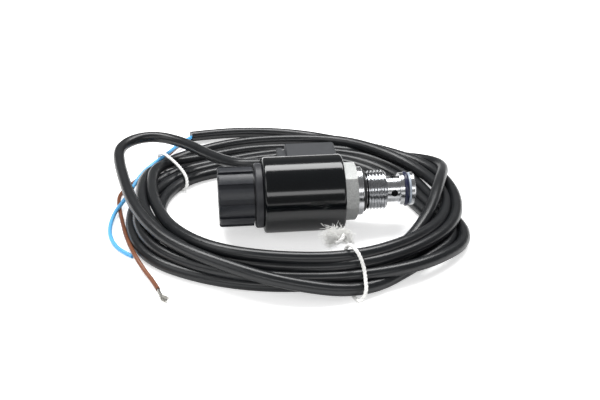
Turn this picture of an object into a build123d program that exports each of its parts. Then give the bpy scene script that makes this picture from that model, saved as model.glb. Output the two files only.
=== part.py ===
"""Screw-in two-way solenoid cartridge valve, lying inside a ring of its own lead.

The valve's axis is X, and the nose points along +X. The origin is on the axis, in the
face of the collar that seats on the manifold. The coil lies on a level surface.
All sizes are in millimetres.
"""
from build123d import *
import os
from math import cos, radians, sin, tan

os.makedirs("parts", exist_ok=True)

# ---------------------------------------------------------------- driving dimensions
# Fits between pieces
RUNNING = 0.05            # radial clearance of a sliding or turning fit
LOOSE = 0.10              # radial clearance of the coil on its tube
FREE = 0.30               # gap where nothing touches

# Valve body: hex, seating collar, thread
HEX_FLATS = 24.0
HEX_LENGTH = 6.5
HEX_CHAMFER = 0.7
HEX_TURN = 10.0           # degrees that the hex lies turned
COLLAR_DIAMETER = 23.0
COLLAR_LENGTH = 2.6
COLLAR_CHAMFER = 0.3
RECESS_DEPTH = 0.2        # the O-ring's seat, cut back from the collar's seating face
THREAD_DIAMETER = 19.05
THREAD_PITCH = 1.5875
THREAD_DEPTH = 0.92
THREAD_START = 1.9
THREAD_END = 11.4
THREAD_CHAMFER = 0.9
RELIEF_DIAMETER = 16.6
TUBE_SEAT_DEPTH = 7.1     # how far the armature tube enters the body
PIN_PASSAGE_DIAMETER = 5.0

# Cage: neck with cross holes, nose land, seal groove, nose lip
SPIGOT_DIAMETER = 10.9
SPIGOT_BORE_START = 1.0
NECK_DIAMETER = 12.6
NECK_END = 18.0
LAND_DIAMETER = 15.6
LAND_END = 19.9
GROOVE_DIAMETER = 12.3
GROOVE_END = 23.2
NOSE_END = 25.2
NOSE_CHAMFER = 0.6
POPPET_BORE = 8.6
CROSS_HOLE_DIAMETER = 3.2
CROSS_HOLE_X = 15.2
CROSS_HOLE_COUNT = 4
CROSS_HOLE_TURN = 7.0     # degrees above level of the hole that faces -Y
SEAT_DIAMETER = 10.0
SEAT_START = 19.0
SEAT_LENGTH = 3.4
SEAT_BORE = 6.2
RETAINER_THICKNESS = 1.0

# Seals
BODY_RING_SECTION = 1.8
SEAL_GAP = 0.2            # round the body's O-ring in its recess
NOSE_RING_SECTION = 2.2
BACKUP_THICKNESS = 1.0
BACKUP_STAND_OFF = 0.1    # how far the backup ring stays inside the land

# Poppet, pilot pin, armature and springs
POPPET_START = 5.0
POPPET_POCKET_DIAMETER = 6.2
POPPET_POCKET_END = 12.0
POPPET_TIP_DIAMETER = 4.0
PILOT_ORIFICE = 1.2
PIN_DIAMETER = 3.0
PIN_SEAT_GAP = 0.1
ARMATURE_START = -28.0
ARMATURE_END = -4.5
ARMATURE_STROKE = 2.0
POLE_GAP = 0.2            # left between armature and fixed core when pulled in
SPRING_POCKET_DIAMETER = 6.4
SPRING_POCKET_END = -17.0
ARMATURE_WIRE = 0.8
ARMATURE_COILS = 7
POPPET_WIRE = 0.6
POPPET_COILS = 6
SPRING_SIDE_GAP = 0.25

# Armature tube and fixed core
TUBE_DIAMETER = 15.8
TUBE_WALL = 0.9
TUBE_END_LIP = 0.9
STUD_DIAMETER = 12.0
STUD_LENGTH = 16.1
STUD_CHAMFER = 0.8

# Coil
COIL_DIAMETER = 36.0
COIL_LENGTH = 37.8
COIL_EDGE = 1.5
SHELL_WALL = 2.0
BOBBIN_WALL = 1.0
BOBBIN_FLANGE = 1.2
WINDING_GAP = 1.0         # ring of potting between winding and shell
COIL_SEAL_SECTION = 1.4
TERMINAL_DIAMETER = 1.5
TERMINAL_SPACING = 7.0
PIN_HEADROOM = 2.5        # from the pins' ends to the box's rim

# Terminal box on the back of the coil
BOX_START = -33.8
BOX_LENGTH = 24.4
BOX_HEIGHT = 24.0
BOX_STAND = 11.5          # from the coil's surface to the rim that the cover closes
BOX_WALL = 2.0
BOX_EDGE = 1.2
COVER_THICKNESS = 2.2
ENTRY_LENGTH = 4.2
ENTRY_INSET = 0.8
ENTRY_GROOVE_WIDTH = 1.6
ENTRY_GROOVE_DEPTH = 1.0
WINDOW_LENGTH = 12.0
WINDOW_HEIGHT = 12.0
GROMMET_BASE = 9.0
GROMMET_TIP = 6.6
GROMMET_TIP_X = -46.0
EXIT_DEPTH = 5.0          # from the box's rim to the lead's centre
EXIT_HEIGHT = 4.5         # of the lead's centre above the axis

# Ring between nut and coil, and the fluted nut
RING_DIAMETER = 30.7
RING_THICKNESS = 3.9
RING_EDGE = 0.6
NUT_DIAMETER = 28.4
NUT_LENGTH = 17.1
NUT_NECK_DIAMETER = 24.0
NUT_NECK_LENGTH = 0.8
NUT_EDGE = 1.2
NUT_CAP = 3.0             # closed end of the nut
FLUTE_COUNT = 12
FLUTE_WIDTH = 2.6
FLUTE_DEPTH = 1.0
INSERT_DIAMETER = 18.0

# Lead
LEAD_DIAMETER = 5.8
CORE_DIAMETER = 2.0
TIP_DIAMETER = 1.6
TIE_DIAMETER = 1.8
COIL_HEIGHT = 11.0
COIL_ROUND = 4.0
COIL_OUTER = (-33.0, 24.0, 98.0, 81.0, 122.0)     # centre x and y, half axes, turn in degrees
COIL_INNER = (-27.0, 15.0, 65.0, 60.0, 0.0)
REAR_TIE = (146.0, 69.0, 20.0, 12.8)       # angle, distance from the ring's centre, width, height
FRONT_TIE = (-75.5, 82.0, 20.0, 17.0)
KNOT_DIAMETER = 7.0
KNOT_SIDE = -3.0                           # how far the knot lies beside the front tie

# ---------------------------------------------------------------- places along the axis
BODY_BACK = -COLLAR_LENGTH - HEX_LENGTH
COIL_FRONT = BODY_BACK
COIL_BACK = COIL_FRONT - COIL_LENGTH
RING_BACK = COIL_BACK - RING_THICKNESS
NUT_BACK = RING_BACK - NUT_LENGTH
TUBE_FRONT = BODY_BACK + TUBE_SEAT_DEPTH
TUBE_BACK = COIL_BACK + TUBE_END_LIP
POLE_FACE = ARMATURE_START - ARMATURE_STROKE - POLE_GAP
STUD_END = COIL_BACK - STUD_LENGTH
GROUND = -COIL_DIAMETER / 2
COIL_BORE = TUBE_DIAMETER + 2 * LOOSE
BOX_REACH = COIL_DIAMETER / 2 + BOX_STAND
COVER_FACE = BOX_REACH + COVER_THICKNESS
PIN_TOP = BOX_REACH - PIN_HEADROOM
LEAD_EXIT = (GROMMET_TIP_X, BOX_REACH - EXIT_DEPTH, EXIT_HEIGHT)
RECESS_DIAMETER = RELIEF_DIAMETER + 2 * BODY_RING_SECTION + 2 * SEAL_GAP

# Free stretch of the lead: out of the grommet, over the back of the ring, round a loop
# at its left and down onto the ring again
FREE_LEAD_ROUTE = [
    LEAD_EXIT,
    (-54.5, 26.5, 4.0),
    (-62.5, 36.0, 3.0),
    (-71.0, 50.0, 1.8),
    (-81.5, 68.0, 0.0),
    (-93.5, 79.4, -1.0),
    (-104.4, 80.4, -1.5),
    (-114.0, 75.1, -2.1),
    (-119.0, 65.3, -2.7),
    (-117.1, 49.8, -3.3),
    (-113.5, 30.0, -4.0),
    (-109.0, 9.5, -4.3),
    (-101.0, -12.0, -4.8),
    (-90.5, -30.0, -6.0),
    (-77.0, -43.5, -8.5),
]
BLUE_ROUTE = [
    (-79.0, 104.5, -14.0),
    (-84.0, 97.0, -12.0),
    (-88.5, 86.0, -8.5),
    (-95.0, 72.0, -5.6),
    (-102.5, 58.5, -5.6),
    (-109.5, 47.5, -9.0),
    (-114.5, 37.5, -14.5),
    (-119.0, 27.0, -17.0),
    (-121.0, 14.0, -17.0),
    (-120.0, 0.5, -17.0),
    (-115.0, -11.5, -17.0),
    (-107.5, -21.0, -17.0),
]
BROWN_ROUTE = [
    (-81.2, 106.5, -14.0),
    (-86.0, 100.0, -12.0),
    (-92.5, 89.0, -8.5),
    (-99.5, 76.0, -6.0),
    (-107.0, 62.5, -6.0),
    (-113.5, 50.0, -9.5),
    (-117.5, 37.0, -12.7),
    (-117.5, 24.0, -12.7),
    (-115.5, 8.0, -15.5),
    (-110.5, -11.0, -14.7),
    (-104.5, -28.0, -14.7),
    (-98.0, -42.0, -17.0),
    (-95.0, -53.0, -17.0),
]
BROWN_TIP_END = (-93.0, -61.5, -17.0)


# ---------------------------------------------------------------- helpers
def turned(points):
    """Solid turned about the X axis from (x, radius) points."""
    outline = Polyline(*points, close=True)
    return revolve(make_face(outline), Axis.X, 360)


def rod(start, end, diameter):
    """Round bar along the axis."""
    return turned([(start, 0), (end, 0), (end, diameter / 2), (start, diameter / 2)])


def pipe(start, end, outer, inner):
    """Hollow bar along the axis."""
    return turned([(start, inner / 2), (end, inner / 2), (end, outer / 2), (start, outer / 2)])


def ring_seal(centre_x, inner, section):
    """Round-section ring that sits on a diameter."""
    circle = Plane.XY * Pos(centre_x, inner / 2 + section / 2) * Circle(section / 2)
    return revolve(circle, Axis.X, 360)


def block(x, y, z):
    """Box between two values on each axis."""
    size = (x[1] - x[0], y[1] - y[0], z[1] - z[0])
    centre = ((x[0] + x[1]) / 2, (y[0] + y[1]) / 2, (z[0] + z[1]) / 2)
    return Pos(*centre) * Box(*size)


def wound(start, end, outer, wire, coils):
    """Helical compression spring between two planes across the axis."""
    half = wire / 2
    length = end - start - wire
    radius = outer / 2 - half
    helix = Helix(length / coils, length, radius, center=(0, 0, 0), direction=(0, 0, 1))
    section = Plane(origin=helix @ 0, z_dir=helix % 0) * Circle(half)
    spring = sweep(section, path=helix, is_frenet=True)
    return Pos(start + half, 0, 0) * Rot(0, 90, 0) * spring


def corner_radii(points):
    """Largest tangent arcs that the runs beside each corner leave room for."""
    corners = [Vector(*p) for p in points]
    radii = []
    for before, here, after in zip(corners, corners[1:], corners[2:]):
        arriving = here - before
        leaving = after - here
        turn = radians(arriving.get_angle(leaving))
        shorter = min(arriving.length, leaving.length)
        radii.append(0.45 * shorter / tan(turn / 2))
    return radii


def cord(name, points, diameter):
    """Round cord along straight runs joined by tangent arcs."""
    radii = corner_radii(points)
    route = FilletPolyline(*points, radius=radii)
    section = Plane(origin=route @ 0, z_dir=route % 0) * Circle(diameter / 2)
    tube = sweep(section, path=route)
    expected = section.area * route.length
    print(name, "length", round(route.length, 1), "volume ratio", round(tube.volume / expected, 4))
    print("  radii", [round(r, 1) for r in radii])
    return tube


def write(name, shape):
    shape.label = name
    export_step(shape, f"parts/{name}.step")


# ---------------------------------------------------------------- valve body
def thread_groove():
    """Helical V groove between the crests of the body's thread."""
    outer = THREAD_DIAMETER / 2 + 0.3
    root = THREAD_DIAMETER / 2 - THREAD_DEPTH
    start = THREAD_START - THREAD_PITCH
    length = THREAD_END + THREAD_PITCH - start
    helix = Helix(THREAD_PITCH, length, root)
    half_mouth = THREAD_PITCH * 0.44 + 0.3 * tan(radians(30))
    half_root = THREAD_PITCH * 0.07
    corners = [(root, -half_root), (outer, -half_mouth), (outer, half_mouth), (root, half_root)]
    outline = Polyline(*[(radius, 0, height) for radius, height in corners], close=True)
    groove = sweep(make_face(outline), path=helix, is_frenet=True)
    return Pos(start, 0, 0) * Rot(0, 90, 0) * groove


def valve_body():
    corner = HEX_FLATS / cos(radians(30))
    hexagon = RegularPolygon(HEX_FLATS / 2, 6, major_radius=False)
    hex_bar = Rot(HEX_TURN, 0, 0) * extrude(Plane.YZ.offset(BODY_BACK) * hexagon, HEX_LENGTH)
    crown = turned([
        (BODY_BACK, 0),
        (-COLLAR_LENGTH, 0),
        (-COLLAR_LENGTH, corner / 2 - 2 * HEX_CHAMFER),
        (-COLLAR_LENGTH - HEX_CHAMFER, corner / 2),
        (BODY_BACK + HEX_CHAMFER, corner / 2),
        (BODY_BACK, corner / 2 - 2 * HEX_CHAMFER),
    ])
    collar = turned([
        (-COLLAR_LENGTH, 0),
        (0, 0),
        (0, COLLAR_DIAMETER / 2 - COLLAR_CHAMFER),
        (-COLLAR_CHAMFER, COLLAR_DIAMETER / 2),
        (-COLLAR_LENGTH, COLLAR_DIAMETER / 2),
    ])
    shank = turned([
        (0, 0),
        (THREAD_END, 0),
        (THREAD_END, THREAD_DIAMETER / 2 - THREAD_CHAMFER),
        (THREAD_END - THREAD_CHAMFER, THREAD_DIAMETER / 2),
        (THREAD_START + THREAD_CHAMFER, THREAD_DIAMETER / 2),
        (THREAD_START, RELIEF_DIAMETER / 2),
        (0, RELIEF_DIAMETER / 2),
    ])
    body = (hex_bar & crown) + collar + (shank - thread_groove_clear())
    body -= pipe(-RECESS_DEPTH, THREAD_START / 2, RECESS_DIAMETER, RELIEF_DIAMETER)
    body -= rod(BODY_BACK - 1, TUBE_FRONT, TUBE_DIAMETER)
    body -= rod(TUBE_FRONT - 1, SPIGOT_BORE_START + 1, PIN_PASSAGE_DIAMETER)
    body -= rod(SPIGOT_BORE_START, THREAD_END + 1, SPIGOT_DIAMETER)
    return body


def thread_groove_clear():
    """The thread's groove, ended where the relief begins."""
    zone = pipe(THREAD_START, THREAD_END + THREAD_PITCH, THREAD_DIAMETER + 4, RELIEF_DIAMETER - 1)
    return thread_groove() & zone


# ---------------------------------------------------------------- cage, seat and seals
def cage():
    spigot_start = SPIGOT_BORE_START + RETAINER_THICKNESS
    body = turned([
        (spigot_start, POPPET_BORE / 2),
        (SEAT_START, POPPET_BORE / 2),
        (SEAT_START, SEAT_DIAMETER / 2),
        (NOSE_END, SEAT_DIAMETER / 2),
        (NOSE_END, LAND_DIAMETER / 2 - NOSE_CHAMFER),
        (NOSE_END - NOSE_CHAMFER, LAND_DIAMETER / 2),
        (GROOVE_END, LAND_DIAMETER / 2),
        (GROOVE_END, GROOVE_DIAMETER / 2),
        (LAND_END, GROOVE_DIAMETER / 2),
        (LAND_END, LAND_DIAMETER / 2),
        (NECK_END, LAND_DIAMETER / 2),
        (NECK_END, NECK_DIAMETER / 2),
        (THREAD_END, NECK_DIAMETER / 2),
        (THREAD_END, SPIGOT_DIAMETER / 2),
        (spigot_start, SPIGOT_DIAMETER / 2),
    ])
    for index in range(CROSS_HOLE_COUNT):
        turn = 360 / CROSS_HOLE_COUNT * index - CROSS_HOLE_TURN
        drill = Cylinder(CROSS_HOLE_DIAMETER / 2, NECK_DIAMETER / 2)
        body -= Rot(turn, 0, 0) * Pos(CROSS_HOLE_X, 0, NECK_DIAMETER / 2) * drill
    return body


def valve_seat():
    return pipe(SEAT_START, SEAT_START + SEAT_LENGTH, SEAT_DIAMETER, SEAT_BORE)


def spring_retainer():
    hole = PIN_DIAMETER + 2 * FREE
    return pipe(SPIGOT_BORE_START, SPIGOT_BORE_START + RETAINER_THICKNESS, SPIGOT_DIAMETER, hole)


def backup_ring():
    outer = LAND_DIAMETER - 2 * BACKUP_STAND_OFF
    return pipe(GROOVE_END - BACKUP_THICKNESS, GROOVE_END, outer, GROOVE_DIAMETER)


# ---------------------------------------------------------------- moving pieces inside
def main_poppet():
    radius = POPPET_BORE / 2 - RUNNING
    tip = POPPET_TIP_DIAMETER / 2
    cone_sum = SEAT_START + SEAT_BORE / 2 - PIN_SEAT_GAP
    return turned([
        (POPPET_START, POPPET_POCKET_DIAMETER / 2),
        (POPPET_POCKET_END, POPPET_POCKET_DIAMETER / 2),
        (POPPET_POCKET_END, PILOT_ORIFICE / 2),
        (cone_sum - tip, PILOT_ORIFICE / 2),
        (cone_sum - tip, tip),
        (cone_sum - radius, radius),
        (POPPET_START, radius),
    ])


def pilot_pin():
    """Pin pressed into the armature. Its cone closes the poppet's orifice."""
    radius = PIN_DIAMETER / 2
    tip_x = POPPET_POCKET_END - PIN_SEAT_GAP
    return turned([
        (ARMATURE_END - 4, 0),
        (tip_x, 0),
        (tip_x, PILOT_ORIFICE / 2),
        (tip_x - radius + PILOT_ORIFICE / 2, radius),
        (ARMATURE_END - 4, radius),
    ])


def armature():
    outer = TUBE_DIAMETER - 2 * TUBE_WALL - 2 * RUNNING
    body = rod(ARMATURE_START, ARMATURE_END, outer)
    body -= rod(ARMATURE_START - 1, SPRING_POCKET_END, SPRING_POCKET_DIAMETER)
    body -= rod(ARMATURE_END - 4, ARMATURE_END + 1, PIN_DIAMETER)
    for side in (-1, 1):
        body -= block((ARMATURE_START - 1, ARMATURE_END + 1), (-0.6, 0.6), sorted((side * 6.0, side * 8.0)))
    return body


def armature_spring():
    outer = SPRING_POCKET_DIAMETER - 2 * SPRING_SIDE_GAP
    return wound(POLE_FACE, SPRING_POCKET_END, outer, ARMATURE_WIRE, ARMATURE_COILS)


def poppet_spring():
    start = SPIGOT_BORE_START + RETAINER_THICKNESS
    outer = POPPET_POCKET_DIAMETER - 2 * SPRING_SIDE_GAP
    return wound(start, POPPET_POCKET_END, outer, POPPET_WIRE, POPPET_COILS)


# ---------------------------------------------------------------- tube and fixed core
def armature_tube():
    return pipe(TUBE_BACK, TUBE_FRONT, TUBE_DIAMETER, TUBE_DIAMETER - 2 * TUBE_WALL)


def pole_piece():
    core = (TUBE_DIAMETER - 2 * TUBE_WALL) / 2
    return turned([
        (POLE_FACE, 0),
        (POLE_FACE, core),
        (TUBE_BACK, core),
        (TUBE_BACK, TUBE_DIAMETER / 2),
        (COIL_BACK, TUBE_DIAMETER / 2),
        (COIL_BACK, STUD_DIAMETER / 2),
        (STUD_END + STUD_CHAMFER, STUD_DIAMETER / 2),
        (STUD_END, STUD_DIAMETER / 2 - STUD_CHAMFER),
        (STUD_END, 0),
    ])


# ---------------------------------------------------------------- coil
SHELL_INNER = COIL_DIAMETER - 2 * SHELL_WALL
WINDING_OUTER = SHELL_INNER - 2 * WINDING_GAP
BOBBIN_CORE = COIL_BORE + 2 * BOBBIN_WALL
INSIDE_BACK = COIL_BACK + SHELL_WALL
INSIDE_FRONT = COIL_FRONT - SHELL_WALL
WINDING_BACK = INSIDE_BACK + BOBBIN_FLANGE
WINDING_FRONT = INSIDE_FRONT - BOBBIN_FLANGE
WINDOW_X = BOX_START + BOX_LENGTH / 2
WINDOW = ((WINDOW_X - WINDOW_LENGTH / 2, WINDOW_X + WINDOW_LENGTH / 2),
          (-WINDOW_HEIGHT / 2, WINDOW_HEIGHT / 2))


def coil_shell():
    shell = rod(COIL_BACK, COIL_FRONT, COIL_DIAMETER)
    shell = fillet(shell.edges().filter_by(GeomType.CIRCLE), COIL_EDGE)
    shell -= rod(INSIDE_BACK, COIL_FRONT + 1, SHELL_INNER)
    shell -= rod(COIL_BACK - 1, COIL_FRONT, COIL_BORE)
    shell -= block(WINDOW[0], (0, COIL_DIAMETER), WINDOW[1])
    return shell


def front_flux_disc():
    disc = pipe(INSIDE_FRONT, COIL_FRONT, SHELL_INNER, COIL_BORE)
    seal_outer = COIL_BORE + 2 * COIL_SEAL_SECTION
    return disc - pipe(COIL_FRONT - COIL_SEAL_SECTION, COIL_FRONT + 1, seal_outer, COIL_BORE - 1)


def coil_seal():
    """Square-cut ring between coil and hex that keeps water out of the bore."""
    outer = COIL_BORE + 2 * COIL_SEAL_SECTION
    return pipe(COIL_FRONT - COIL_SEAL_SECTION, COIL_FRONT, outer, COIL_BORE)


def bobbin():
    return turned([
        (INSIDE_BACK, COIL_BORE / 2),
        (INSIDE_FRONT, COIL_BORE / 2),
        (INSIDE_FRONT, WINDING_OUTER / 2),
        (WINDING_FRONT, WINDING_OUTER / 2),
        (WINDING_FRONT, BOBBIN_CORE / 2),
        (WINDING_BACK, BOBBIN_CORE / 2),
        (WINDING_BACK, WINDING_OUTER / 2),
        (INSIDE_BACK, WINDING_OUTER / 2),
    ])


def copper_winding():
    return pipe(WINDING_BACK, WINDING_FRONT, WINDING_OUTER, BOBBIN_CORE)


def pin_bars(bottom):
    """Two round bars from a height above the axis to just below the cover."""
    bars = []
    for side in (-1, 1):
        x = WINDOW_X + side * TERMINAL_SPACING / 2
        bar = Cylinder(TERMINAL_DIAMETER / 2, PIN_TOP - bottom, align=(Align.CENTER, Align.CENTER, Align.MIN))
        bars.append(Pos(x, bottom, 0) * Rot(-90, 0, 0) * bar)
    return bars


def potting():
    ring = pipe(INSIDE_BACK, INSIDE_FRONT, SHELL_INNER, WINDING_OUTER)
    for hole in pin_bars(WINDING_OUTER / 2 - 1):
        ring -= hole
    return ring


def terminal_pins():
    """Two pins that carry the winding's ends into the terminal box."""
    return Compound(children=[bar.solid() for bar in pin_bars(WINDING_OUTER / 2)])


# ---------------------------------------------------------------- terminal box
def terminal_box():
    half = BOX_HEIGHT / 2
    x = (BOX_START, BOX_START + BOX_LENGTH)
    foot = COIL_DIAMETER / 2
    box = block(x, (0, BOX_REACH), (-half, half))
    box = fillet(box.edges().filter_by(Axis.Y), BOX_EDGE)
    entry_half = half - ENTRY_INSET
    entry_x = (BOX_START - ENTRY_LENGTH, BOX_START + 1)
    entry = block(entry_x, (foot + 0.5, BOX_REACH - ENTRY_INSET), (-entry_half, entry_half))
    entry = fillet(entry.edges().filter_by(Axis.Y), ENTRY_INSET)
    groove_x = (BOX_START - ENTRY_GROOVE_WIDTH, BOX_START)
    groove = block(groove_x, (0, BOX_REACH), (-half, half))
    core = half - ENTRY_INSET - ENTRY_GROOVE_DEPTH
    groove -= block(groove_x, (0, BOX_REACH - ENTRY_INSET - ENTRY_GROOVE_DEPTH), (-core, core))
    box += entry - groove
    box -= Rot(0, 90, 0) * Cylinder(foot, 200)
    inside = (x[0] + BOX_WALL, x[1] - BOX_WALL)
    box -= block(inside, (foot + BOX_WALL, BOX_REACH + 1), (BOX_WALL - half, half - BOX_WALL))
    plug = block(WINDOW[0], (SHELL_INNER / 2 - 1, foot + BOX_WALL), WINDOW[1])
    plug -= Rot(0, 90, 0) * Cylinder(SHELL_INNER / 2, 200)
    box += plug
    for hole in pin_bars(WINDING_OUTER / 2):
        box -= hole
    return box


def terminal_cover():
    half = BOX_HEIGHT / 2
    x = (BOX_START, BOX_START + BOX_LENGTH)
    plate = block(x, (BOX_REACH, COVER_FACE), (-half, half))
    plate = fillet(plate.edges().filter_by(Axis.Y), BOX_EDGE)
    plate = chamfer(plate.faces().sort_by(Axis.Y)[-1].edges(), BOX_EDGE / 2)
    lip = block(
        (x[0] + BOX_WALL, x[1] - BOX_WALL), (BOX_REACH - 1, BOX_REACH), (BOX_WALL - half, half - BOX_WALL))
    return plate + lip


def lead_grommet():
    """Tapered sleeve that the lead leaves the terminal box through."""
    base_x = BOX_START - ENTRY_LENGTH
    y, z = LEAD_EXIT[1:]
    taper = Cone(GROMMET_BASE / 2, GROMMET_TIP / 2, base_x - GROMMET_TIP_X)
    return Pos((base_x + GROMMET_TIP_X) / 2, y, z) * Rot(0, -90, 0) * taper


# ---------------------------------------------------------------- ring and nut
def nut_seal_ring():
    bore = STUD_DIAMETER + 2 * FREE
    ring = rod(RING_BACK, COIL_BACK, RING_DIAMETER)
    ring = chamfer(ring.edges().filter_by(GeomType.CIRCLE), RING_EDGE)
    return ring - rod(RING_BACK - 1, COIL_BACK + 1, bore)


def coil_nut():
    radius = NUT_DIAMETER / 2
    grip_front = RING_BACK - NUT_NECK_LENGTH
    grip = rod(NUT_BACK, grip_front, NUT_DIAMETER)
    grip = fillet(grip.edges().filter_by(GeomType.CIRCLE).sort_by(Axis.X)[0], NUT_EDGE)
    for index in range(FLUTE_COUNT):
        depth = (radius - FLUTE_DEPTH, radius + 2)
        flute = block((NUT_BACK - 1, grip_front + 1), depth, (-FLUTE_WIDTH / 2, FLUTE_WIDTH / 2))
        grip -= Rot(360 / FLUTE_COUNT * (index + 0.5), 0, 0) * flute
    grip += rod(grip_front, RING_BACK, NUT_NECK_DIAMETER)
    return grip - rod(NUT_BACK + NUT_CAP, RING_BACK + 1, INSERT_DIAMETER)


def nut_insert():
    return pipe(NUT_BACK + NUT_CAP, RING_BACK, INSERT_DIAMETER, STUD_DIAMETER + 2 * RUNNING)


# ---------------------------------------------------------------- lead
def lead_coil():
    """Outer shape of the ring of turns."""
    def ellipse(values):
        x, y, half_long, half_short, turn = values
        return Plane.XY.offset(GROUND) * Pos(x, y) * Rot(0, 0, turn) * Ellipse(half_long, half_short)

    ring = extrude(ellipse(COIL_OUTER) - ellipse(COIL_INNER), COIL_HEIGHT)
    return fillet(ring.edges(), COIL_ROUND)


def tie(values):
    """String loop round the ring's turns."""
    angle, distance, width, height = values
    outline = Rectangle(width + 2 * TIE_DIAMETER, height)
    outline = fillet(outline.vertices(), COIL_ROUND)
    hole = Rectangle(width, height - 2 * TIE_DIAMETER)
    hole = fillet(hole.vertices(), COIL_ROUND - TIE_DIAMETER)
    centre = (
        COIL_OUTER[0] + distance * cos(radians(angle)),
        COIL_OUTER[1] + distance * sin(radians(angle)),
        GROUND + height / 2,
    )
    plane = Plane(
        origin=centre,
        x_dir=(cos(radians(angle)), sin(radians(angle)), 0),
        z_dir=(sin(radians(angle)), -cos(radians(angle)), 0),
    )
    return extrude(plane * (outline - hole), TIE_DIAMETER / 2, both=True)


def tie_knot():
    """Knot and frayed ends of the front tie, at the loop's inner upper corner."""
    angle, distance, width, height = FRONT_TIE
    reach = distance - width / 2
    x = COIL_OUTER[0] + reach * cos(radians(angle)) + KNOT_SIDE
    y = COIL_OUTER[1] + reach * sin(radians(angle))
    return Pos(x, y, GROUND + height - TIE_DIAMETER / 2) * Sphere(KNOT_DIAMETER / 2)


def brown_tip():
    """Tinned strands bared at the end of the brown core."""
    start = Vector(*BROWN_ROUTE[-1])
    along = Vector(*BROWN_TIP_END) - start
    section = Plane(origin=start, z_dir=along) * Circle(TIP_DIAMETER / 2)
    return extrude(section, along.length)


PARTS = {
    "valve_body": valve_body(),
    "cage": cage(),
    "valve_seat": valve_seat(),
    "spring_retainer": spring_retainer(),
    "body_o_ring": ring_seal(BODY_RING_SECTION / 2 - RECESS_DEPTH, RELIEF_DIAMETER, BODY_RING_SECTION),
    "nose_o_ring": ring_seal(LAND_END + NOSE_RING_SECTION / 2, GROOVE_DIAMETER, NOSE_RING_SECTION),
    "backup_ring": backup_ring(),
    "main_poppet": main_poppet(),
    "poppet_spring": poppet_spring(),
    "pilot_pin": pilot_pin(),
    "armature": armature(),
    "armature_spring": armature_spring(),
    "armature_tube": armature_tube(),
    "pole_piece": pole_piece(),
    "coil_shell": coil_shell(),
    "front_flux_disc": front_flux_disc(),
    "coil_seal": coil_seal(),
    "bobbin": bobbin(),
    "copper_winding": copper_winding(),
    "potting": potting(),
    "terminal_pins": terminal_pins(),
    "terminal_box": terminal_box(),
    "terminal_cover": terminal_cover(),
    "lead_grommet": lead_grommet(),
    "nut_seal_ring": nut_seal_ring(),
    "coil_nut": coil_nut(),
    "nut_insert": nut_insert(),
    "free_lead": cord("free_lead", FREE_LEAD_ROUTE, LEAD_DIAMETER),
    "lead_coil": lead_coil(),
    "blue_core": cord("blue_core", BLUE_ROUTE, CORE_DIAMETER),
    "brown_core": cord("brown_core", BROWN_ROUTE, CORE_DIAMETER),
    "brown_tip": brown_tip(),
    "rear_tie": tie(REAR_TIE),
    "front_tie": tie(FRONT_TIE),
    "tie_knot": tie_knot(),
}
for part_name, shape in PARTS.items():
    write(part_name, shape)
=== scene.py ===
# %% [markdown]
# # A screw-in solenoid valve lying in a ring of its own lead
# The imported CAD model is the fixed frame: every metal, plastic and rubber piece of the valve is
# already at its real size and place. This script adds what CAD leaves plain: the flexible lead
# in its loose ring, the two cores, the string ties, and a finish for every surface.

# %% Load the frame
import math
import random

import bpy
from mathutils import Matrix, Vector


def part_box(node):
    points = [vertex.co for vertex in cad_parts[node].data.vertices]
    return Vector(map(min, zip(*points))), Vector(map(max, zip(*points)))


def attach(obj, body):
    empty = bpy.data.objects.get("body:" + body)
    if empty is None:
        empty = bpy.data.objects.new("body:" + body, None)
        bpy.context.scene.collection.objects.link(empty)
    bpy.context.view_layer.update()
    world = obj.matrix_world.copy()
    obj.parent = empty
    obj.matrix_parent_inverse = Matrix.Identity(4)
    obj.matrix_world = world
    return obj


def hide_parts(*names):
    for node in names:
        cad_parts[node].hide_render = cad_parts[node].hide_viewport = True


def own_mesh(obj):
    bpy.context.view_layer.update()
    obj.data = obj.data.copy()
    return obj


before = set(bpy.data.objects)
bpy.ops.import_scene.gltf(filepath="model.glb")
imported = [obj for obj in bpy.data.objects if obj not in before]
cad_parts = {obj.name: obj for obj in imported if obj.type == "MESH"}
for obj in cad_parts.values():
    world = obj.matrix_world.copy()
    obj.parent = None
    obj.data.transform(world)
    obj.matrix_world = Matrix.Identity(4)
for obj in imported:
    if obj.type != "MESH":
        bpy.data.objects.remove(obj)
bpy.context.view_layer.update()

MM = 0.001
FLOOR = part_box("coil_shell")[0].z


def show(name, data):
    """A new object with this data, placed at the origin of the scene."""
    piece = bpy.data.objects.new(name, data)
    bpy.context.scene.collection.objects.link(piece)
    return piece


print("nodes", len(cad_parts), "floor", round(FLOOR, 4))

# %% [markdown]
# The camera comes first, because the cords are judged in its view. A 65 mm lens half a metre
# away keeps the valve's far end nearly as large as its near one. The eye is placed by its
# bearing, its height angle and its distance from a target.

# %% Camera
TARGET = Vector((-29.2, 0.0, -3.5)) * MM
BEARING, ELEVATION, DISTANCE = math.radians(-6), math.radians(27), 0.515


def direction(bearing, elevation):
    """Unit vector towards a place seen from the target. A bearing of 0 is the valve's front."""
    return Vector((
        math.sin(bearing) * math.cos(elevation),
        -math.cos(bearing) * math.cos(elevation),
        math.sin(elevation),
    ))


out = direction(BEARING, ELEVATION)
camera = show("camera", bpy.data.cameras.new("camera"))
camera.data.lens = 65
camera.data.sensor_width = 36
camera.location = TARGET + out * DISTANCE
camera.rotation_euler = (-out).to_track_quat("-Z", "Y").to_euler()
bpy.context.scene.camera = camera
print("camera at", [round(v, 3) for v in camera.location])

# %% [markdown]
# A cord is one NURBS spline with a round bevel. The order of 3 lets each bend be pulled by
# three control points, so the line is smooth but still follows them closely. The order and the
# end setting come after the points, because a spline with too few points drops back to straight
# runs. The bevel depth is 1 and each point's own radius holds the real thickness, because a
# curve's box is grown by that radius, which would otherwise be a whole metre.

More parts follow.
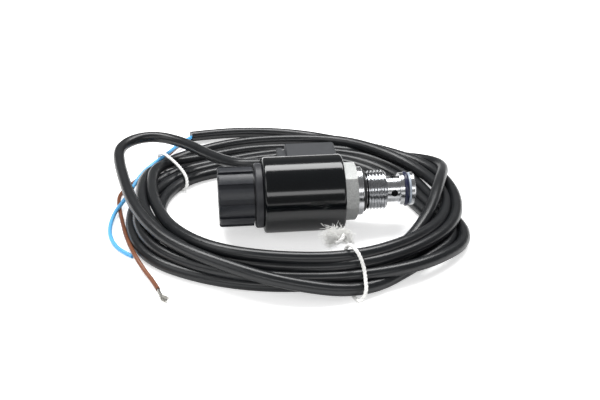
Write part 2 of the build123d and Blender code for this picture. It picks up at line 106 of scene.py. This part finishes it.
# %% One way to make a cord
CORD_ROUNDNESS, CORD_STEPS = 4, 8


def new_curve(name, roundness, depth=1):
    """An empty curve with a round bevel and closed ends."""
    curve = bpy.data.curves.new(name, "CURVE")
    curve.dimensions = "3D"
    curve.bevel_depth = depth
    curve.bevel_resolution = roundness
    curve.use_fill_caps = True
    return curve


def add_spline(curve, points, diameter, steps):
    spline = curve.splines.new("NURBS")
    spline.points.add(len(points) - 1)
    for target, point in zip(spline.points, points):
        target.co = (*point, 1)
        target.radius = diameter / 2
    spline.order_u = 3
    spline.use_endpoint_u = True
    spline.resolution_u = steps


def cord_curve(name, points, diameter):
    """A round cord along control points given in metres. Without a diameter it is a bare line."""
    curve = new_curve(name, CORD_ROUNDNESS, depth=1 if diameter else 0)
    add_spline(curve, points, diameter, CORD_STEPS)
    return show(name, curve)


def line_of(points):
    """The smooth line that a cord with these control points follows."""
    cord = cord_curve("line", points, 0)
    mesh = bpy.data.meshes.new_from_object(cord)
    line = [vertex.co.copy() for vertex in mesh.vertices]
    curve = cord.data
    bpy.data.objects.remove(cord)
    bpy.data.curves.remove(curve)
    bpy.data.meshes.remove(mesh)
    return line


def length_of(line):
    return sum((b - a).length for a, b in zip(line, line[1:]))


# %% [markdown]
# The lead is a moulded two-core cable, 5.8 mm thick and fairly stiff. It leaves the terminal
# box through a tapered grommet, swings over the back of the ring, bends round at the left and
# comes down onto the ring's outside. The first list holds that free stretch, point by point.

# %% Free stretch of the lead
LEAD_DIAMETER = 5.8 * MM
FREE_LEAD = [Vector(point) * MM for point in [
    (-46.0, 24.5, 4.5),
    (-54.5, 26.5, 3.8),
    (-62.5, 36.0, 1.6),
    (-71.0, 50.0, -0.6),
    (-81.5, 68.0, -2.2),
    (-93.5, 79.2, -2.6),
    (-104.0, 80.4, -2.4),
    (-112.6, 75.1, -2.4),
    (-117.4, 65.3, -2.8),
    (-116.2, 49.8, -3.4),
    (-113.0, 30.0, -4.0),
    (-109.0, 9.5, -4.3),
    (-101.8, -12.0, -4.8),
    (-91.5, -30.0, -5.8),
    (-74.1, -48.0, -5.8),
]]

# %% [markdown]
# The rest of the lead is a ring of almost six turns, tied in two places and loose between
# them. A perfect coil would look wound by a machine. Here each turn has its own lane: at
# sixteen stations round the ring it has a distance from the ring's centre and a height above
# the floor, both in millimetres. Turns pack into layers at the front tie, where the string
# pulls them together, and fan out side by side at the back. On the right one turn climbs over
# two others and dives under them again.

# %% Turns of the ring
RING_CENTRE = Vector((-33.0, 24.0, 0.0)) * MM
FIRST_STATION, STATION_STEP, SHEATH_END = 240.0, 22.5, 120.0
TURN_LANES = [
    [(90.5, 9.3), (95, 2.9), (87, 2.9), (90.4, 2.9), (67.5, 2.9), (63.8, 2.9), (61, 2.9),
     (56.5, 2.9), (51.5, 2.9), (50, 2.9), (52.6, 3.4), (64, 2.9), (69, 3.5), (77.5, 7.4),
     (83, 6.6)],
    [(83, 7), (84.7, 8), (88.3, 7.1), (94.5, 6.5), (96.2, 2.9), (73, 2.9), (69.6, 2.9),
     (68.5, 2.9), (62, 2.9), (57, 2.9), (55, 2.9), (58, 2.9), (70, 2.9), (75, 2.9),
     (80.5, 2.9), (87, 2.9)],
    [(84.5, 2.9), (83.5, 2.9), (84.3, 2.9), (81.5, 2.9), (82.8, 2.9), (61.5, 2.9), (58, 2.9),
     (55.2, 2.9), (50.7, 2.9), (45.7, 2.9), (44.4, 2.9), (46.8, 2.9), (57.5, 2.9),
     (62.8, 2.9), (65.5, 2.9), (71, 2.9)],
    [(75.5, 4.8), (78.5, 6.6), (80.8, 6.9), (76, 5.5), (73.6, 10), (75.2, 14.3), (88, 8.8),
     (76, 2.9), (65.5, 2.9), (62.5, 2.9), (64.3, 2.9), (67.5, 2.9), (76, 7.4), (68.2, 9),
     (66.5, 10.5), (71.5, 12.5)],
    [(77.5, 14.2), (80, 15), (82.5, 13.8), (80.8, 11.6), (81, 8.5), (79.2, 7.4), (72.9, 7.4),
     (68.3, 8.4), (71.2, 6.5), (74.7, 2.9), (75.8, 2.9), (77.3, 2.9), (79.8, 3.5),
     (73.4, 8.5), (73, 10), (77, 10.3)],
    [(76.5, 9.6), (81, 11), (85, 10.8), (84.3, 8.6), (86.7, 7.5), (84.3, 7.4), (80.6, 7.4),
     (72.5, 6.8), (74, 4.2), (82.6, 2.9), (91, 2.9), (93.3, 4)],
]


def in_ring(angle, distance, height):
    """A point from its bearing round the ring, its distance from the centre and its height."""
    bearing = math.radians(angle)
    flat = Vector((math.cos(bearing), math.sin(bearing), 0)) * distance * MM
    return RING_CENTRE + flat + Vector((0, 0, FLOOR + height * MM))


def ring_points():
    """The turns' control points. The first turn starts one station late, after the free stretch."""
    points = []
    for turn, lanes in enumerate(TURN_LANES):
        first = 1 if turn == 0 else 0
        for station, (distance, height) in enumerate(lanes, start=first):
            points.append(in_ring(FIRST_STATION + STATION_STEP * station, distance, height))
    points[-1] = in_ring(SHEATH_END, *TURN_LANES[-1][-1])
    return points


LEAD_POINTS = FREE_LEAD + ring_points()
lead = cord_curve("lead_sheath", LEAD_POINTS, LEAD_DIAMETER)
lead_line = line_of(LEAD_POINTS)
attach(lead, "solenoid")
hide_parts("free_lead", "lead_coil")
print("lead", round(length_of(lead_line), 3), "m with", len(LEAD_POINTS), "points")

# %% [markdown]
# At its end the sheath is cut back and the two cores come out. They rest on the ring, pass
# under the rear tie and under the swinging lead, and lie on the floor at the left. The blue
# one crosses over the brown one, and further on the brown one over the blue. Both start inside
# the sheath's cut end.

# %% Blue and brown cores
CORE_DIAMETER = 2.0 * MM
BLUE_ROUTE = [Vector(point) * MM for point in [
    (-79.0, 104.5, -14.0),
    (-86.0, 92.0, -12.5),
    (-93.0, 75.6, -11.0),
    (-100.1, 63.5, -10.8),
    (-106.5, 55.4, -13.0),
    (-111.1, 43.0, -15.3),
    (-114.2, 30.5, -15.0),
    (-118.2, 20.0, -15.6),
    (-120.4, 6.5, -17.0),
    (-118.6, -6.6, -17.0),
    (-114.0, -16.5, -17.0),
    (-108.3, -22.0, -17.0),
]]
BROWN_ROUTE = [Vector(point) * MM for point in [
    (-79.6, 105.2, -15.3),
    (-87.0, 96.6, -15.7),
    (-93.2, 83.6, -15.9),
    (-99.6, 73.4, -15.2),
    (-105.2, 61.8, -16.3),
    (-112.4, 51.6, -17.0),
    (-117.4, 40.5, -17.0),
    (-116.4, 27.0, -17.0),
    (-114.6, 14.1, -17.0),
    (-111.8, -5.2, -16.0),
    (-107.6, -24.1, -14.2),
    (-103.0, -35.5, -16.2),
    (-98.6, -45.0, -17.0),
    (-96.4, -52.0, -17.0),
]]
BROWN_TIP = Vector((-94.0, -61.5, -17.0)) * MM
blue = cord_curve("blue_core_wire", BLUE_ROUTE, CORE_DIAMETER)
brown = cord_curve("brown_core_wire", BROWN_ROUTE, CORE_DIAMETER)
for wire, node, slot in ((blue, "blue_core", "blue_pvc"), (brown, "brown_core", "brown_pvc")):
    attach(wire, "solenoid")
    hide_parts(node)
blue_line, brown_line = line_of(BLUE_ROUTE), line_of(BROWN_ROUTE)
print("cores", round(length_of(blue_line), 3), round(length_of(brown_line), 3), "m")

# %% [markdown]
# The brown core ends in fine tinned strands, a little splayed and bent over at the tip. Each
# strand is a thin spline that starts inside the core's end and wanders off the straight line by
# its own small amount. A seeded random generator makes the same strands on every run.

# %% Tinned strands
STRAND_DIAMETER, STRAND_COUNT = 0.32 * MM, 24
STRAND_ROOT, SPLAY = 0.5 * MM, 0.9 * MM
TIP_HOOK = Vector((1.6, 0.2, 0.3)) * MM
chance = random.Random(4)


def away(size):
    """A random offset of up to this size in every direction."""
    return Vector([chance.uniform(-size, size) for _ in range(3)])


def fibre_mesh(name, routes, diameter, roundness=1, steps=4):
    """One mesh of many thin round strands."""
    curve = new_curve(name, roundness)
    for route in routes:
        add_spline(curve, route, diameter, steps)
    source = show(name, curve)
    mesh = bpy.data.meshes.new_from_object(source)
    bpy.data.objects.remove(source)
    bpy.data.curves.remove(curve)
    mesh.name = name
    mesh.shade_smooth()
    return show(name, mesh)


def on_floor(point, radius):
    return Vector((point.x, point.y, max(point.z, FLOOR + radius)))


strand_routes = []
start = BROWN_ROUTE[-1]
along = BROWN_TIP - start
for _ in range(STRAND_COUNT):
    inside = away(STRAND_ROOT)
    drift = away(SPLAY)
    reach = chance.uniform(0.8, 1.05)
    # Share of the way along, share of the splay, share of the hook.
    stages = [(-0.15, 0, 0), (0.2, 0.2, 0), (0.6, 0.6, 0), (0.85 * reach, 0.9, 0.3), (reach, 1, 1)]
    route = [
        start + along * share + inside + drift * spread + TIP_HOOK * bend
        for share, spread, bend in stages
    ]
    strand_routes.append([on_floor(point, STRAND_DIAMETER / 2) for point in route])
tip = fibre_mesh("tinned_strands", strand_routes, STRAND_DIAMETER)
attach(tip, "solenoid")
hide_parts("brown_tip")
print("strands", STRAND_COUNT, "triangles", len(tip.data.polygons) * 2)

# %% [markdown]
# Two pieces of white string hold the ring. The string is three strands twisted together, so
# each strand winds round a smooth line. The strands are a little thicker than half the string,
# so that they press into each other with no light between them.

# %% Twisted string
STRING_DIAMETER, TWIST_PITCH, PLIES = 1.8 * MM, 5.0 * MM, 3
PLY_DIAMETER = 0.54 * STRING_DIAMETER


def plies(line):
    """Routes of the strands that wind round a line."""
    normal = (line[1] - line[0]).orthogonal().normalized()
    routes = [[] for _ in range(PLIES)]
    travelled = 0.0
    for index, here in enumerate(line):
        ahead = line[min(index + 1, len(line) - 1)] - line[max(index - 1, 0)]
        ahead.normalize()
        normal = (normal - ahead * normal.dot(ahead)).normalized()
        side = ahead.cross(normal)
        if index:
            travelled += (here - line[index - 1]).length
        for ply, route in enumerate(routes):
            turn = 2 * math.pi * (travelled / TWIST_PITCH + ply / PLIES)
            offset = normal * math.cos(turn) + side * math.sin(turn)
            route.append(here + offset * (STRING_DIAMETER - PLY_DIAMETER) / 2)
    return routes


def string_piece(name, points):
    """Twisted string through these points, and the smooth line it follows."""
    line = line_of(points)
    return fibre_mesh(name, plies(line), PLY_DIAMETER, steps=2), line


# %% [markdown]
# Each tie is a loop round the bundle, given by points with a bearing round the ring, a distance
# from its centre and a height above the floor. The loops are not quite square to the bundle, as
# string that was tied by hand.

# %% Ties round the ring
FRONT_TIE = [(284.0, 75.4, 13.0), (284.6, 76.6, 17.6), (284.4, 82.0, 19.8), (284.9, 86.0, 19.0),
             (285.8, 87.8, 15.5), (286.3, 89.2, 11.0), (285.6, 93.0, 8.6), (284.9, 97.0, 5.2),
             (283.4, 98.2, 1.6), (282.4, 96.0, 0.9), (282.6, 87.0, 0.9), (283.2, 78.0, 0.9),
             (283.4, 74.6, 3.6), (283.8, 75.2, 9.6), (284.2, 76.2, 13.8)]
REAR_TIE = [(158.0, 58.0, 0.9), (159.3, 54.6, 0.9), (158.6, 53.2, 3.2), (155.6, 54.4, 6.4),
            (152.4, 58.0, 8.4), (149.6, 63.4, 10.4), (147.6, 68.6, 11.6), (145.6, 73.4, 11.9),
            (143.0, 79.0, 9.6), (140.4, 83.6, 5.4), (140.0, 83.6, 0.9), (144.0, 76.0, 0.9),
            (150.0, 66.0, 0.9), (156.8, 58.6, 0.9)]
ties = {}
for name, node, section in (
        ("front_tie_string", "front_tie", FRONT_TIE),
        ("rear_tie_string", "rear_tie", REAR_TIE)):
    loop = [in_ring(*place) for place in section]
    piece, line = string_piece(name, loop)
    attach(piece, "solenoid")
    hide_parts(node)
    ties[name] = (piece, line)
    print(name, round(length_of(line), 3), "m")

# %% [markdown]
# The front tie ends in a knot whose ends have come untwisted into a white tuft. The knot is
# the string run along a small trefoil, the shape of an overhand knot. The tuft is made of many
# fine fibres that leave the knot in a few bunches and curl more and more towards their ends.

# %% Knot and frayed ends
KNOT = Vector((-16.5, -44.5, 0.4)) * MM
KNOT_SIZE, KNOT_STEPS = 1.25 * MM, 24
TUFT_FIBRES, FIBRE_DIAMETER = 680, 0.15 * MM
TUFT_ROOT, TUFT_SPREAD, CURL = 1.5 * MM, 1.5 * MM, 1.5 * MM
BUNCHES = [Vector(bunch) * MM for bunch in [
    (-6.5, 0.2, -3.8), (-7.6, 0.5, -0.6), (-7.0, 1.0, 2.2), (-4.2, 1.2, 2.7), (-0.8, 1.0, 2.8),
    (3.0, 0.4, 2.3), (5.8, -0.4, 1.0), (6.4, -1.0, -1.8),
]]

trefoil = []
for step in range(KNOT_STEPS + 1):
    turn = 2 * math.pi * step / KNOT_STEPS
    trefoil.append(KNOT + KNOT_SIZE * Vector((
        math.sin(turn) + 2 * math.sin(2 * turn),
        math.cos(turn) - 2 * math.cos(2 * turn),
        -1.3 * math.sin(3 * turn),
    )))
knot, _ = string_piece("tie_knot_string", trefoil)
fibre_routes = []
for index in range(TUFT_FIBRES):
    bunch = BUNCHES[index % len(BUNCHES)]
    reach = chance.uniform(0.35, 1.0)
    root = KNOT + away(TUFT_ROOT)
    spread = away(TUFT_SPREAD)
    fibre_routes.append([
        root + (bunch * reach + spread) * share + away(CURL * share)
        for share in (0.0, 0.3, 0.5, 0.7, 0.85, 1.0)
    ])
tuft = fibre_mesh("frayed_ends", fibre_routes, FIBRE_DIAMETER, roundness=0, steps=3)
for piece in (knot, tuft):
    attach(piece, "solenoid")
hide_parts("tie_knot")
front_piece, front_line = ties["front_tie_string"]
rear_piece, rear_line = ties["rear_tie_string"]
print("tuft fibres", TUFT_FIBRES, "polygons", len(tuft.data.polygons))

# %% [markdown]
# Two springs sit inside the cartridge. Each is a copy of its CAD shape with a mesh of its own,
# hung on the cartridge.

# %% Springs inside the cartridge
SPRINGS = {
    # CAD node: new name, joint, fixed end, free end and travel in mm
    "armature_spring": ("armature_spring_wire", "armature_pull", -30.2, -17.0, 2.0),
    "poppet_spring": ("poppet_spring_wire", "poppet_lift", 2.0, 12.0, 1.6),
}
springs = []
for node, (name, joint, fixed, free, travel) in SPRINGS.items():
    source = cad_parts[node]
    spring = show(name, source.data.copy())
    spring.matrix_world = source.matrix_world.copy()
    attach(spring, "cartridge")
    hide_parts(node)
    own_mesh(spring)
    springs.append(spring)
print("springs", [spring.name for spring in springs])

# %% [markdown]
# ## Finishes
# Each finish is named for the real substance, except the darkened steel, whose dark colour is
# painted shade. Colours are written as the sRGB values that a paint chart gives, and one function
# turns them to the linear values that a render needs. One small function adds a node, sets it and
# links it.

# %% Colour and node helpers
def linear(code):
    """Linear colour from an sRGB hex code."""
    values = [int(code[start:start + 2], 16) / 255 for start in (1, 3, 5)]
    return [v / 12.92 if v <= 0.04045 else ((v + 0.055) / 1.055) ** 2.4 for v in values] + [1]


def add(tree, kind, settings=None, values=None, links=None):
    """A node with its settings, its input values, and links given as input: output socket."""
    node = tree.nodes.new(kind)
    for key, value in (settings or {}).items():
        setattr(node, key, value)
    for key, value in (values or {}).items():
        node.inputs[key].default_value = value
    for key, socket in (links or {}).items():
        tree.links.new(socket, node.inputs[key])
    return node


def finish(name, **values):
    """A material with one Principled shader. Its object coordinates come back in millimetres."""
    material = bpy.data.materials.new(name)
    material.use_nodes = True
    tree = material.node_tree
    shader = tree.nodes["Principled BSDF"]
    for key, value in values.items():
        shader.inputs[key.replace("_", " ")].default_value = value
    place = add(tree, "ShaderNodeTexCoord")
    scaled = add(tree, "ShaderNodeVectorMath", {"operation": "SCALE"}, {"Scale": 1 / MM},
                 {0: place.outputs["Object"]})
    return material, tree, shader, scaled.outputs[0]


def noise(tree, place, size, detail=2.0, stretch=(1, 1, 1)):
    """Noise whose blotches are about this many millimetres wide."""
    moved = add(tree, "ShaderNodeMapping", {}, {"Scale": stretch}, {"Vector": place})
    return add(tree, "ShaderNodeTexNoise", {}, {"Scale": 1 / size, "Detail": detail},
               {"Vector": moved.outputs[0]}).outputs["Fac"]


def mixed_colour(tree, factor, first, second):
    """One of two colours or colour sockets, or a blend of them."""
    values, links = {}, {0: factor}
    for key, side in ((6, first), (7, second)):
        if isinstance(side, str):
            values[key] = linear(side)
        else:
            links[key] = side
    return add(tree, "ShaderNodeMix", {"data_type": "RGBA"}, values, links).outputs[2]


def vary(tree, shader, factor, dark, light, rough=None):
    """Colour, and roughness if given, that run between two values with a factor."""
    tree.links.new(mixed_colour(tree, factor, dark, light), shader.inputs["Base Color"])
    if rough:
        spread = add(tree, "ShaderNodeMapRange", {}, {"To Min": rough[0], "To Max": rough[1]},
                     {"Value": factor})
        tree.links.new(spread.outputs[0], shader.inputs["Roughness"])


def relief(tree, shader, height, depth):
    """Bumps this many millimetres deep."""
    bump = add(tree, "ShaderNodeBump", {}, {"Distance": depth * MM, "Strength": 1.0},
               {"Height": height})
    tree.links.new(bump.outputs[0], shader.inputs["Normal"])


# %% [markdown]
# The plastics and rubbers differ in grain and gloss more than in colour. The coil's coating is
# a hard gloss enamel, so it mirrors the lamps sharply. The terminal box comes from a spark-eroded
# mould and scatters light. The lead's PVC lies between the two.

# %% Plastics, rubbers and coatings
SOFT_FINISHES = {
    # name: dark and light colour, roughness span, grain in mm, depth in mm
    "gloss_enamel": ("#06080a", "#0a0d10", (0.10, 0.15), 3.0, 0.004),
    "spark_textured_plastic": ("#2b2d30", "#3a3c40", (0.48, 0.60), 0.45, 0.030),
    "glass_filled_nylon": ("#1c1e23", "#272a30", (0.36, 0.46), 0.60, 0.014),
    "matte_acetal": ("#232428", "#2c2d32", (0.42, 0.52), 0.50, 0.012),
    "extruded_pvc": ("#121416", "#1b1d20", (0.25, 0.35), 1.20, 0.010),
    "nitrile_rubber": ("#0f0f11", "#17171a", (0.40, 0.52), 0.50, 0.010),
    "navy_rubber": ("#0c1230", "#141b40", (0.30, 0.42), 0.50, 0.010),
    "blue_core_pvc": ("#4fa9e6", "#6cbcf0", (0.30, 0.40), 2.00, 0.008),
    "brown_core_pvc": ("#6e3f26", "#865032", (0.32, 0.42), 2.00, 0.008),
    "moulded_nylon": ("#d2cfc4", "#dedbd0", (0.45, 0.55), 0.80, 0.010),
    "cast_epoxy": ("#16161a", "#1f1f24", (0.25, 0.35), 1.50, 0.010),
}
materials = {}
for name, (dark, light, rough, grain, depth) in SOFT_FINISHES.items():
    material, tree, shader, place = finish(name, IOR=1.5)
    cloud = noise(tree, place, grain * 5)
    vary(tree, shader, cloud, dark, light, rough)
    relief(tree, shader, noise(tree, place, grain, 3.0), depth)
    materials[name] = material
print("soft finishes", len(materials))

# %% [markdown]
# The backup ring is a hard pale plastic that lets some light through. The string is loosely
# spun cotton: very rough, with a soft glow at its edges from the fibres that stand up.

# %% Backup ring and string
material, tree, shader, place = finish("clear_backup_plastic", Roughness=0.3, IOR=1.45,
                                       Transmission_Weight=0.35)
vary(tree, shader, noise(tree, place, 2.0), "#bcc9da", "#d5dfea")
relief(tree, shader, noise(tree, place, 0.6), 0.01)
materials["clear_backup_plastic"] = material
material, tree, shader, place = finish("spun_cotton", Roughness=0.9, Sheen_Weight=0.3)
vary(tree, shader, noise(tree, place, 1.5, 4.0), "#ecece9", "#fcfcfa")
relief(tree, shader, noise(tree, place, 0.25, 4.0), 0.05)
materials["spun_cotton"] = material

# %% [markdown]
# Turned steel carries fine rings from the lathe tool. They run round the axis, so the noise is
# squeezed along X and hardly changes across it. Drawn wire and tinned strands are smoother.

# %% Metals
ROUND_AXIS = (1, 0.04, 0.04)
METALS = {
    # name: dark and light colour, roughness span, ring pitch in mm, depth in mm
    "turned_steel": ("#a9abae", "#d9dadc", (0.16, 0.30), 0.30, 0.010),
    "drawn_spring_steel": ("#7d7f83", "#98999d", (0.25, 0.35), 1.20, 0.004),
    # Painted shade: the poppet and the small parts beside it are bright steel, darkened here to
    # stand for the shade inside the cartridge's holes.
    "steel_darkened_for_shade": ("#1d1d1f", "#2b2b2e", (0.30, 0.42), 0.35, 0.008),
    "turned_iron": ("#8f9094", "#b0b1b4", (0.24, 0.36), 0.35, 0.010),
    "drawn_stainless": ("#a4a5a8", "#bcbdbf", (0.22, 0.32), 0.80, 0.006),
    "enamelled_copper": ("#8f4a25", "#b4622f", (0.25, 0.35), 0.50, 0.020),
    "turned_brass": ("#b58f49", "#d1ac62", (0.20, 0.32), 0.35, 0.010),
    "tinned_copper": ("#b4b2ac", "#dad8d2", (0.28, 0.40), 0.80, 0.010),
}
for name, (dark, light, rough, pitch, depth) in METALS.items():
    material, tree, shader, place = finish(name, Metallic=1.0)
    rings = noise(tree, place, pitch, 3.0, ROUND_AXIS)
    vary(tree, shader, rings, dark, light, rough)
    relief(tree, shader, rings, depth)
    materials[name] = material

# %% [markdown]
# The body is one piece of steel with two finishes. Its hexagon keeps the dull, crystalline
# zinc plating of the whole blank, and the collar and thread are bright. The plating stops
# where the collar begins, so the material switches at that place along X.

# %% Zinc-plated hexagon with a bright collar and thread
COLLAR_BACK, EDGE = -2.6, 0.02
material, tree, shader, place = finish("zinc_plated_steel", Metallic=1.0)
along_axis = add(tree, "ShaderNodeSeparateXYZ", {}, {}, {0: place}).outputs["X"]
plated = add(tree, "ShaderNodeMath", {"operation": "LESS_THAN"}, {1: COLLAR_BACK - EDGE},
             {0: along_axis}).outputs[0]
speckle = noise(tree, place, 0.55, 4.0)
rings = noise(tree, place, 0.25, 3.0, ROUND_AXIS)
pattern = add(tree, "ShaderNodeMix", {"data_type": "FLOAT"}, {},
              {0: plated, 2: rings, 3: speckle}).outputs[0]
dull = mixed_colour(tree, speckle, "#77797a", "#c9cac8")
bright = mixed_colour(tree, rings, "#a4a6a9", "#d9dadc")
tree.links.new(mixed_colour(tree, plated, bright, dull), shader.inputs["Base Color"])
rough = add(tree, "ShaderNodeMapRange", {}, {"To Min": 0.2, "To Max": 0.34}, {"Value": plated})
tree.links.new(rough.outputs[0], shader.inputs["Roughness"])
relief(tree, shader, pattern, 0.02)
materials["zinc_plated_steel"] = material
print("finishes", len(materials))

# %% [markdown]
# Every CAD node keeps its shape and takes its finish here. The new pieces take theirs too.

# %% Give each piece its finish
WEARS = {
    "gloss_enamel": ["coil_shell", "front_flux_disc"],
    "spark_textured_plastic": ["terminal_box", "terminal_cover"],
    "glass_filled_nylon": ["coil_nut"],
    "matte_acetal": ["nut_seal_ring"],
    "extruded_pvc": ["lead_grommet", "free_lead", "lead_coil"],
    "nitrile_rubber": ["body_o_ring", "coil_seal"],
    "navy_rubber": ["nose_o_ring"],
    "blue_core_pvc": ["blue_core"],
    "brown_core_pvc": ["brown_core"],
    "moulded_nylon": ["bobbin"],
    "cast_epoxy": ["potting"],
    "clear_backup_plastic": ["backup_ring"],
    "spun_cotton": ["rear_tie", "front_tie", "tie_knot"],
    "turned_steel": ["cage", "valve_seat"],
    # Painted shade: bright steel parts inside the cartridge, darkened for the shade in its holes.
    "steel_darkened_for_shade": ["spring_retainer", "main_poppet", "pilot_pin"],
    "drawn_spring_steel": ["poppet_spring", "armature_spring"],
    "turned_iron": ["armature", "pole_piece"],
    "drawn_stainless": ["armature_tube"],
    "enamelled_copper": ["copper_winding"],
    "turned_brass": ["nut_insert"],
    "tinned_copper": ["terminal_pins", "brown_tip"],
    "zinc_plated_steel": ["valve_body"],
}
NEW_PIECES = {
    "extruded_pvc": [lead],
    "blue_core_pvc": [blue],
    "brown_core_pvc": [brown],
    "tinned_copper": [tip],
    "spun_cotton": [front_piece, rear_piece, knot, tuft],
    "drawn_spring_steel": springs,
}


def wear(piece, name):
    piece.data.materials.clear()
    piece.data.materials.append(materials[name])


for name, nodes in WEARS.items():
    for node in nodes:
        wear(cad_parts[node], name)
for name, pieces in NEW_PIECES.items():
    for piece in pieces:
        wear(piece, name)
dressed = sorted(node for nodes in WEARS.values() for node in nodes)
print("every node dressed:", dressed == sorted(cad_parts))

# %% [markdown]
# ## Floor and light
# The valve lies on a white sweep. For rays from the eye, and for mirror rays, the floor also
# glows a little, so that it reads as white while it still takes the shadow.

# %% Floor
FLOOR_SIZE, FLOOR_GLOW, MIRRORED_SHARE = 8, 0.5, 0.3


def maths(tree, operation, first, second):
    """One Math node. The second value is a number or a socket."""
    settings = {"operation": operation, "use_clamp": operation == "ADD"}
    if isinstance(second, float):
        return add(tree, "ShaderNodeMath", settings, {1: second}, {0: first}).outputs[0]
    return add(tree, "ShaderNodeMath", settings, {}, {0: first, 1: second}).outputs[0]


bpy.ops.mesh.primitive_plane_add(size=FLOOR_SIZE, location=(0, 0, FLOOR))
floor = bpy.context.object
floor.name = "floor"
material, tree, shader, place = finish("white_sweep", Roughness=0.7)
vary(tree, shader, noise(tree, place, 60.0), "#f1f1f1", "#f5f5f5")
path = add(tree, "ShaderNodeLightPath").outputs
mirrored = maths(tree, "MULTIPLY", path["Is Glossy Ray"], MIRRORED_SHARE)
seen = maths(tree, "ADD", path["Is Camera Ray"], mirrored)
seen = maths(tree, "ADD", seen, path["Is Transmission Ray"])
glow = maths(tree, "MULTIPLY", seen, FLOOR_GLOW)
shader.inputs["Emission Color"].default_value = linear("#ffffff")
tree.links.new(glow, shader.inputs["Emission Strength"])
floor.data.materials.append(material)

# %% [markdown]
# Three soft boxes light the valve. The long one above and a little behind draws the bright
# band near the top of the black coil. The wide one in front, low down, draws the fainter band
# across its middle. The world fills the shadows, and is dimmer in mirror rays, so that the
# enamel stays black between its two bands.

# %% Lamps and world
LAMPS = {
    # name: height angle, bearing, distance in m, width, height in m, watts
    "top_soft_box": (66, 180, 0.9, 1.3, 0.34, 14),
    "front_soft_box": (28, -4, 1.1, 1.8, 0.2, 4.5),
    "left_soft_box": (35, -75, 1.1, 0.7, 0.7, 2.2),
}
FILL, MIRRORED_FILL, BACKGROUND = 0.32, 0.2, 1.0

for name, (elevation, bearing, distance, width, height, watts) in LAMPS.items():
    towards = direction(math.radians(bearing), math.radians(elevation))
    data = bpy.data.lights.new(name, "AREA")
    data.shape = "RECTANGLE"
    data.size, data.size_y = width, height
    data.energy = watts
    lamp = show(name, data)
    lamp.location = TARGET + towards * distance
    lamp.rotation_euler = towards.to_track_quat("Z", "Y").to_euler()

world = bpy.data.worlds.new("studio")
bpy.context.scene.world = world
world.use_nodes = True
tree = world.node_tree
back = tree.nodes["Background"]
path = add(tree, "ShaderNodeLightPath").outputs
fill = add(tree, "ShaderNodeMapRange", {}, {"To Min": FILL, "To Max": MIRRORED_FILL},
           {"Value": path["Is Glossy Ray"]})
strength = add(tree, "ShaderNodeMapRange", {}, {"To Max": BACKGROUND},
               {"Value": path["Is Camera Ray"], "To Min": fill.outputs[0]})
tree.links.new(strength.outputs[0], back.inputs["Strength"])
back.inputs["Color"].default_value = linear("#ffffff")
bpy.context.scene.view_settings.view_transform = "Standard"
